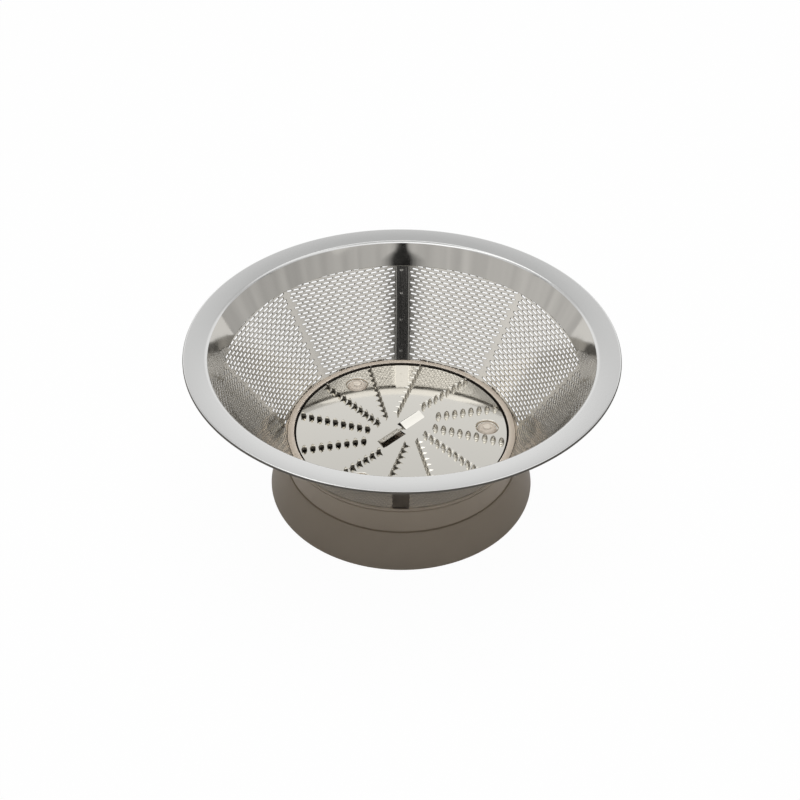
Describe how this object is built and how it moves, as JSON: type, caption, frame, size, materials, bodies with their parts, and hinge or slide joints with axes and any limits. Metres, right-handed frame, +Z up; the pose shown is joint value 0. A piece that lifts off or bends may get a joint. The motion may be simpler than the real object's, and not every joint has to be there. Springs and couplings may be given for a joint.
{
  "type": "juicer mesh screen",
  "caption": "Conical juicer filter basket: pressed steel rim, etched mesh cone and toothed grating disc on a flared moulded base with a drive socket underneath.",
  "frame": {"origin": "middle of the foot ring, on the surface that the basket stands on", "axes": "+Z up along the axis that the basket spins on; +Y from the front seam to the back seam"},
  "size_m": [0.178, 0.178, 0.074],
  "materials": {
    "polished_steel": "pressed stainless steel, satin flange and mirror-polished band",
    "etched_steel": "photo-etched stainless sheet, bright",
    "strip_steel": "rolled stainless strip, spot welded",
    "disc_steel": "mirror-polished stainless sheet, punched teeth",
    "taupe_plastic": "moulded, fine satin texture"
  },
  "bodies": {
    "root": {"rim_ring": "polished_steel", "mesh_half_left": "etched_steel", "mesh_half_right": "etched_steel", "seam_strip_back": "strip_steel", "seam_strip_front": "strip_steel", "grating_disc": "disc_steel", "base_hub": "taupe_plastic"}
  },
  "joints": []
}
